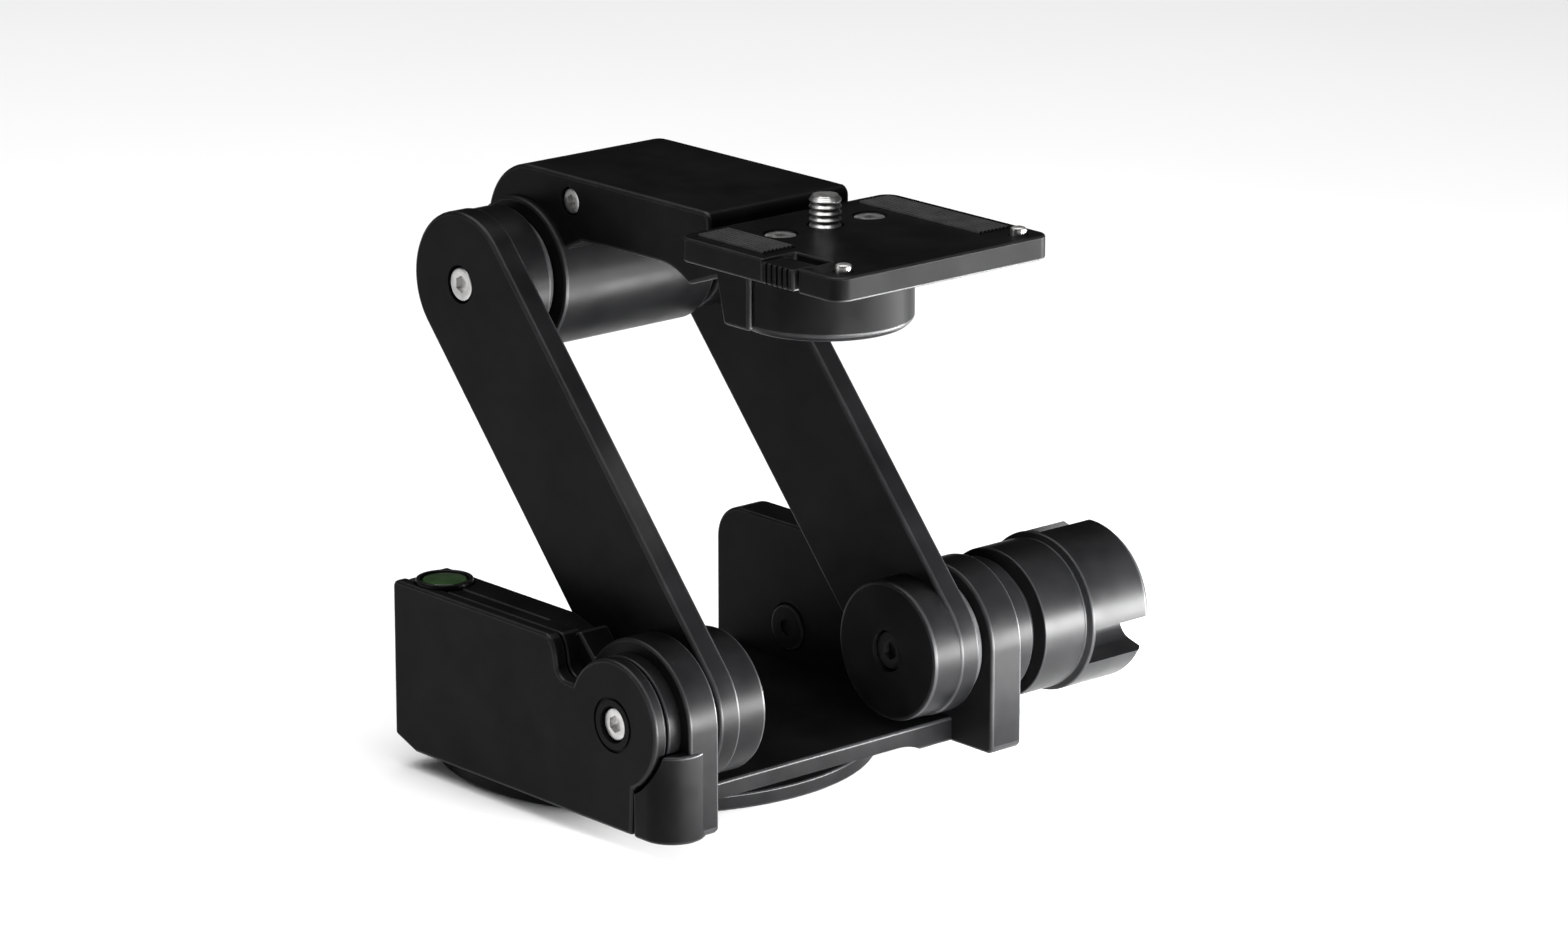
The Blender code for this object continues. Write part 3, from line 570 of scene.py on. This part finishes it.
show(bevel(turned("bearing_cap", [
    (3.4, CAP_TOP - 0.8), (4.0, CAP_TOP), (CAP_RADIUS - 1.2, CAP_TOP), (CAP_RADIUS, CAP_TOP - 0.9),
    (CAP_RADIUS, CAP_UNDERSIDE), (CAP_NECK_RADIUS, CAP_UNDERSIDE), (CAP_NECK_RADIUS, CAP_BOTTOM),
    (0.0, CAP_BOTTOM), (0.0, CAP_TOP - 0.8)], pan_centre), 0.2), "base", STEEL_Z,
    "pan_cap")
plug = pin("wall_plug_cap", PLUG_RADIUS - GAP, RIGHT_IN - 0.6, RIGHT_IN + 1.7, plug_centre,
           ALONG_X, 0.5)
cut(plug, drum("plug_dimple", 1.9, RIGHT_IN - 3.0, RIGHT_IN - 0.1, plug_centre, ALONG_X, HEX))
show(plug, "base", COVER, "wall_plug")
for name, inner, outer, x0, x1, mat, slot, node in (
        ("left_bush_sleeve", BUSH_IN, BUSH_OUT, LEFT_FRAME + GAP, LEFT_IN - GAP, BRONZE,
         "bearing_bronze", "left_bush"),
        ("right_bush_sleeve", BUSH_IN, BUSH_OUT, RIGHT_IN + GAP, RIGHT_OUT - GAP, BRONZE,
         "bearing_bronze", "right_bush"),
        ("left_friction_washer", WASHER_IN, WASHER_OUT, LEFT_IN + GAP, -ARM_OUT - GAP, POLYMER,
         "friction_polymer", "left_washer"),
        ("right_friction_washer", WASHER_IN, WASHER_OUT, ARM_OUT + GAP, RIGHT_IN - GAP, POLYMER,
         "friction_polymer", "right_washer"),
        ("knob_collar_ring", WASHER_IN, COLLAR_OUT, RIGHT_OUT + GAP, KNOB_START - 0.4, BLACK,
         "black_anodised", "knob_collar")):
    show(ring(name, inner, outer, x0, x1, lower, ALONG_X), "base", mat, node)

# --- arms ---
along = math.degrees(math.atan2(UPPER_Z, UPPER_Y))
arm_outline = (arc(UPPER_Y, UPPER_Z, ARM_RADIUS, along - 90, along + 90, 56)
               + arc(0.0, 0.0, ARM_RADIUS, along + 90, along + 270, 56))
for side, label in ((-1, "left"), (1, "right")):
    arm = bevel(side_slab(label + "_arm_blade", arm_outline, side * ARM_OUT,
                          side * (ARM_OUT - ARM_BLADE)), 0.8)
    for end, centre in (("lower", lower), ("upper", upper)):
        low, high = between(side, ARM_OUT - ARM_HUB, ARM_OUT - ARM_BLADE + 1.0)
        join(arm, pin(label + end + "_hub", HUB_RADIUS, low, high, centre, ALONG_X, 0.8, ROUND))
    low, high = between(side, 10.0, 50.0)
    recess, seat = ARM_OUT - SCREW_RECESS_DEPTH, ARM_OUT - SCREW_SEAT_DEPTH
    bores = [(SCREW_RECESS_RADIUS, ARM_OUT + 6.0, recess), (SCREW_HOLE_RADIUS, recess, seat),
             (UPPER_BORE, seat, 10.0)]
    if side < 0:
        bores = [(radius, -b, -a) for radius, a, b in reversed(bores)]
    cut(arm, drum(label + "_lower_bore", BUSH_IN, low, high, lower, ALONG_X),
        stepped(label + "_upper_bore", bores, upper, ALONG_X))
    show(arm, "arms", BLACK, label + "_arm")

    head_in, head_out = ARM_OUT - 2.0, ARM_OUT - 0.2
    shape = [(0.0, head_out - 0.3), (2.5, head_out), (SCREW_HEAD_RADIUS, head_out),
             (SCREW_HEAD_RADIUS, head_in), (SCREW_SHANK_RADIUS, head_in),
             (SCREW_SHANK_RADIUS, SCREW_START), (0.0, SCREW_START)]
    if side < 0:
        shape = [(r, -h) for r, h in reversed(shape)]
    screw = bevel(turned(label + "_arm_screw", shape, upper, ALONG_X, 64, closed=False), 0.3)
    low, high = between(side, head_out - 1.3, head_out + 3.0)
    cut(screw, drum(label + "_socket", 1.8, low, high, upper, ALONG_X, HEX))
    show(screw, "arms", STEEL_X, label + "_upper_screw")
    low, high = between(side, BARREL_HALF + GAP, ARM_OUT - ARM_HUB - GAP)
    show(ring(label + "_upper_friction_washer", UPPER_BORE, UPPER_WASHER_OUT, low, high, upper,
              ALONG_X), "arms", POLYMER, label + "_upper_washer")
    low, high = between(side, SLEEVE_START, BARREL_HALF - GAP)
    show(ring(label + "_barrel_sleeve", UPPER_BORE, SLEEVE_OUT, low, high, upper, ALONG_X), "link",
         BRONZE, label + "_barrel_bush")

show(ring("upper_axle_tube", AXLE_IN, AXLE_OUT, -AXLE_HALF, AXLE_HALF, upper, ALONG_X, 0.5), "arms",
     STEEL_X, "upper_axle")
bolt = bevel(turned("left_pivot_bolt_head", [
    (0.0, BOLT_START), (BOLT_RADIUS, BOLT_START), (BOLT_RADIUS, BOLT_STEP),
    (BOLT_END_RADIUS, BOLT_STEP), (BOLT_END_RADIUS, BOLT_END), (0.0, BOLT_END)],
    lower, ALONG_X, 64, closed=False), 0.35)
cut(bolt, drum("bolt_socket", 1.8, -52.0, BOLT_END + 1.4, lower, ALONG_X, HEX))
show(bolt, "arms", STEEL_X, "left_pivot_bolt")
stud = pin("right_pivot_stud_pin", BOLT_RADIUS, STUD_START, STUD_END, lower, ALONG_X, 0.5)
cut(stud, drum("stud_socket", 2.0, 20.0, STUD_START + 1.6, lower, ALONG_X, HEX))
show(stud, "arms", OXIDE, "right_pivot_stud")

# --- upper link ---
crown = arc(62.0, NECK_TOP - 13.7, 13.7, 12, 90, 20)
underside = ([(46.0, NECK_ARCH - 0.4), (36.0, NECK_ARCH)]
             + arc(22.0, NECK_ARCH - 14.0, 14.0, 90, 128, 10)
             + [(5.2, NOSE_BOTTOM + 9.4), (3.0, NOSE_BOTTOM + 0.6)])
neck_outline = ([(UPPER_Y, UPPER_Z + 4.0), (UPPER_Y + 11.4, UPPER_Z + 9.6)] + crown
                + [(11.0, NECK_TOP)] + arc(9.0, NECK_TOP - 2.0, 2.0, 80, 180, 8)
                + [(7.0, NOSE_TOP), (-4.6, NOSE_TOP - 0.6), (-4.6, NOSE_BOTTOM + 0.6)]
                + list(reversed(underside)) + [(UPPER_Y - 12.5, UPPER_Z + 6.5)])
link = bevel(side_slab("link_body", neck_outline, -NECK_HALF, NECK_HALF), 0.8)
nose = bevel(turned("nose", [
    (0.0, NOSE_TOP), (NOSE_RADIUS, NOSE_TOP), (NOSE_RADIUS, NOSE_BOTTOM + 1.3),
    (NOSE_RADIUS - 1.3, NOSE_BOTTOM), (0.0, NOSE_BOTTOM)],
    nose_centre, steps=128, closed=False), 0.5)
join(link, pin("barrel", BARREL_RADIUS, -BARREL_HALF, BARREL_HALF, upper, ALONG_X, 0.8, 128), nose)
plate_screw_spots = ((-PLATE_SCREW_X, "left"), (PLATE_SCREW_X, "right"))
recess_top = NOSE_BOTTOM + WHEEL_RECESS
cut(link, drum("barrel_bore", BARREL_BORE, -30.0, 30.0, upper, ALONG_X),
    stepped("wheel_recess", [(SHANK_HOLE, 100.0, recess_top),
                             (WHEEL_RECESS_RADIUS, recess_top, 60.0)], nose_centre, steps=96),
    drum("set_screw_hole", SET_RADIUS + GAP, -26.0, -13.6, set_centre, ALONG_X, 48))
for x, label in plate_screw_spots:
    cut(link, drum(label + "_plate_bore", PLATE_SCREW_HOLE, PLATE_SCREW_END - 0.4, 90.0,
                   place(x, NOSE_Y, 0.0), steps=32))
show(link, "link", BLACK, "upper_link")
set_screw = pin("tension_set_screw", SET_RADIUS, -17.7, -13.9, set_centre, ALONG_X, 0.4, 48)
cut(set_screw, drum("tension_socket", 1.3, -20.0, -16.2, set_centre, ALONG_X, HEX))
show(set_screw, "link", STEEL_X, "tension_screw")

# --- top plate ---
side_in = PLATE_HALF - PLATE_CORNER
front_in, back_in = PLATE_FRONT + PLATE_CORNER, PLATE_BACK - PLATE_CORNER
plate_plan = (arc(side_in, front_in, PLATE_CORNER, -90, 0, 12)
              + arc(side_in, back_in, PLATE_CORNER, 0, 90, 12)
              + arc(-side_in, back_in, PLATE_CORNER, 90, 180, 12)
              + [(-PLATE_HALF, BUTTON_REAR), (BUTTON_IN, BUTTON_REAR), (BUTTON_IN, BUTTON_FRONT),
                 (-PLATE_HALF, BUTTON_FRONT)]
              + arc(-side_in, front_in, PLATE_CORNER, 180, 270, 12))
plate = bevel(slab("plate_body", plate_plan, PLATE_TOP - PLATE_BOTTOM,
                   place(0.0, 0.0, (PLATE_TOP + PLATE_BOTTOM) / 2)), 0.5)
cut(plate, drum("plate_screw_bore", SHANK_HOLE, 80.0, 95.0, nose_centre))
for x, label in plate_screw_spots:
    cut(plate, turned(label + "_countersink", [
        (0.0, PLATE_TOP + 2.0), (SINK_RADIUS, PLATE_TOP + 2.0), (SINK_RADIUS, PLATE_TOP - 0.2),
        (PLATE_SCREW_HOLE, PLATE_TOP - SINK_DEPTH), (PLATE_SCREW_HOLE, 80.0), (0.0, 80.0)],
        place(x, NOSE_Y, 0.0), steps=48, closed=False))
for side, label in ((-1, "left"), (1, "right")):
    low, high = between(side, PAD_IN, PAD_OUT)
    cut(plate, box(label + "_pad_recess", (low, PAD_FRONTS[side], PLATE_TOP - 0.9),
                   (high, PAD_BACK, PLATE_TOP + 2.0)),
        drum(label + "_pin_bore", PIN_RADIUS + GAP, PLATE_BOTTOM + 1.5, 95.0,
             place(side * PIN_X, PIN_Y, 0.0), steps=40))
show(plate, "link", BLACK, "top_plate")
for side, label in ((-1, "left"), (1, "right")):
    low, high = between(side, PAD_IN, PAD_OUT)
    low, high, front = low + GAP, high - GAP, PAD_FRONTS[side]
    ridge = [(low, PLATE_TOP - 0.6), (high, PLATE_TOP - 0.6)]
    width = (high - low) / PAD_RIDGES
    for i in range(PAD_RIDGES):
        right = high - i * width
        ridge += [(right, PLATE_TOP + 0.15), (right - width * 0.25, PLATE_TOP + 0.5),
                  (right - width * 0.75, PLATE_TOP + 0.5)]
    ridge.append((low, PLATE_TOP + 0.15))
    show(slab(label + "_pad_ribbed", ridge, PAD_BACK - front - 2 * GAP,
              place(0.0, (front + PAD_BACK) / 2, 0.0), (math.pi / 2, 0.0, 0.0)),
         "link", RUBBER, label + "_grip_pad")
    show(pin(label + "_twist_pin", PIN_RADIUS, PLATE_BOTTOM + 1.8, PLATE_TOP + 1.5,
             place(side * PIN_X, PIN_Y, 0.0), edge=0.6, steps=48),
         "link", STEEL_Z, label + "_index_pin")
for x, label in plate_screw_spots:
    head = turned(label + "_plate_screw_head", [
        (0.0, PLATE_TOP - 0.3), (3.0, PLATE_TOP - 0.3), (1.5, PLATE_TOP - 1.8),
        (1.5, PLATE_SCREW_END), (0.0, PLATE_SCREW_END)],
        place(x, NOSE_Y, 0.0), steps=48, closed=False)
    cut(head, drum(label + "_plate_socket", 1.2, PLATE_TOP - 1.3, 95.0,
                   place(x, NOSE_Y, 0.0), steps=HEX))
    show(head, "link", STEEL_Z, label + "_plate_screw")

button = bevel(box("lock_button_cap", (-PLATE_HALF - 0.8, BUTTON_FRONT + 0.4, PLATE_BOTTOM + 0.3),
                   (BUTTON_IN - 3.0, BUTTON_REAR - 0.4, PLATE_TOP - 0.3)), 0.5)
for i in range(-2, 3):
    middle = (BUTTON_FRONT + BUTTON_REAR) / 2 + i * BUTTON_GROOVE_PITCH
    cut(button, box("button_groove", (-PLATE_HALF - 2.0, middle - 0.3, PLATE_BOTTOM - 1.0),
                    (-PLATE_HALF - 0.4, middle + 0.3, PLATE_TOP + 1.0)))
show(button, "lock_button", COVER, "lock_button")

# --- camera screw and its thumb wheel ---
wheel_low, wheel_high = NOSE_BOTTOM + 0.4, NOSE_BOTTOM + 5.8
rim = []
for i in range(TEETH):
    for share, radius in ((0.0, WHEEL_RADIUS - 0.35), (0.2, WHEEL_RADIUS), (0.55, WHEEL_RADIUS),
                          (0.75, WHEEL_RADIUS - 0.35)):
        turn = 2 * math.pi * (i + share) / TEETH
        rim.append((radius * math.cos(turn), radius * math.sin(turn)))
wheel = bevel(slab("camera_screw_wheel", rim, wheel_high - wheel_low,
                   place(0.0, NOSE_Y, (wheel_low + wheel_high) / 2)), 0.3, 2)
shank = [(0.0, PLATE_TOP + 6.0), (2.5, PLATE_TOP + 6.0)]
shank += threaded(PLATE_TOP + 5.6, PLATE_TOP - 3.0, SHANK_CREST, SHANK_ROOT, SHANK_PITCH)
shank += [(2.9, PLATE_TOP - 3.4), (2.9, wheel_high - 1.0), (0.0, wheel_high - 1.0)]
join(wheel, turned("shank", shank, nose_centre, steps=48, closed=False))
cut(wheel, box("coin_slot", (-6.0, NOSE_Y - 0.8, wheel_low - 3.0),
               (6.0, NOSE_Y + 0.8, wheel_low + 1.8)))
show(wheel, "camera_screw", STEEL_Z, "camera_screw")

# --- friction knob ---
recess_floor = KNOB_END - KNOB_RECESS
knob = bevel(turned("knob_body", [
    (KNOB_BORE, recess_floor), (KNOB_RECESS_RADIUS, recess_floor), (KNOB_RECESS_RADIUS, KNOB_END),
    (LOBE_RADIUS - 1.2, KNOB_END), (LOBE_RADIUS, KNOB_END - 1.5), (LOBE_RADIUS, KNOB_STEP + 1.0),
    (KNOB_RADIUS - 0.4, KNOB_STEP), (KNOB_RADIUS, KNOB_STEP - 0.6), (KNOB_RADIUS, KNOB_START + 2.1),
    (KNOB_FOOT_RADIUS, KNOB_START + 2.1), (KNOB_FOOT_RADIUS, KNOB_START), (KNOB_BORE, KNOB_START)],
    lower, ALONG_X, steps=144), 0.3)
slot = (arc(SLOT_FLOOR + SLOT_HALF, 0.0, SLOT_HALF, 90, 270, 20)
        + [(22.0, -SLOT_HALF), (22.0, SLOT_HALF)])
for i in range(SLOTS):
    turn = math.radians(FIRST_SLOT + 360.0 * i / SLOTS)
    c, s = math.cos(turn), math.sin(turn)
    cut(knob, side_slab("knob_slot", [(u * c - v * s, u * s + v * c) for u, v in slot],
                        KNOB_STEP + 1.6, KNOB_END + 5.0))
show(knob, "knob", GRIP, "friction_knob")
show(pin("knob_end_cap", KNOB_RECESS_RADIUS - GAP, recess_floor + GAP, recess_floor + 1.9, lower,
         ALONG_X, 0.4), "knob", COVER, "knob_cap")

# --- floor, light and camera ---
FLOOR_HALF = 30.0                                # metres
ground = bmesh.new()
bmesh.ops.create_grid(ground, x_segments=1, y_segments=1, size=FLOOR_HALF)
ground_mesh = bpy.data.meshes.new("floor")
ground.to_mesh(ground_mesh)
ground.free()
floor = bpy.data.objects.new("floor", ground_mesh)
floor.location.z = cad_box[0][2] - 0.0002
bpy.context.scene.collection.objects.link(floor)
paper, paper_tree, paper_shader = shader_of("paper_floor", 0.9, 0.0, specular=0.1)
paper_tree.links.new(ramp(paper_tree, noise(paper_tree, 3.0), [(0.3, (0.80, 0.80, 0.80)),
                                                              (0.7, (0.83, 0.83, 0.83))]),
                     paper_shader.inputs["Base Color"])
ground_mesh.materials.append(paper)


def aim(item, target):
    """Point a light or camera at a place."""
    item.rotation_euler = (Vector(target) - item.location).to_track_quat("-Z", "Y").to_euler()


def softbox(name, location, target, width, height, power):
    """A rectangular lamp that the camera doesn't see; lengths in metres, power in watts."""
    lamp = bpy.data.lights.new(name, "AREA")
    lamp.shape, lamp.size, lamp.size_y, lamp.energy = "RECTANGLE", width, height, power
    item = bpy.data.objects.new(name, lamp)
    item.location, item.visible_camera = location, False
    aim(item, target)
    bpy.context.scene.collection.objects.link(item)


MIDDLE = Vector((0.0, 0.0, 0.060))
softbox("near_card", (0.035, -0.140, 0.018), (-0.018, -0.050, 0.016), 0.30, 0.028, 2.5)
softbox("far_card", (0.25, -0.30, 0.040), (0.0, -0.02, 0.060), 0.50, 0.055, 3.2)
softbox("top_fill", (-0.1, 0.1, 1.5), MIDDLE, 1.8, 1.8, 44.0)
softbox("left_rim", (-0.34, 0.12, 0.14), MIDDLE, 0.05, 0.30, 0.18)

world = bpy.data.worlds.new("studio")
world.use_nodes = True
sky = world.node_tree
backdrop = sky.nodes["Background"]
backdrop.inputs["Color"].default_value = (1.0, 1.0, 1.0, 1.0)
# the backdrop is white to the camera and lights the object only faintly
rays = sky.nodes.new("ShaderNodeLightPath")
seen = sky.nodes.new("ShaderNodeMapRange")
seen.inputs["To Min"].default_value, seen.inputs["To Max"].default_value = 0.02, 0.95
sky.links.new(rays.outputs["Is Camera Ray"], seen.inputs["Value"])
sky.links.new(seen.outputs["Result"], backdrop.inputs["Strength"])
bpy.context.scene.world = world

camera = bpy.data.objects.new("camera", bpy.data.cameras.new("camera"))
camera.data.sensor_width, camera.data.lens = 36.0, 138.0
camera.data.clip_end = 100.0
camera.location = place(-750.4, -849.6, 363.8)
aim(camera, MIDDLE)
bpy.context.scene.collection.objects.link(camera)
bpy.context.scene.camera = camera
bpy.context.scene.view_settings.view_transform = "Standard"
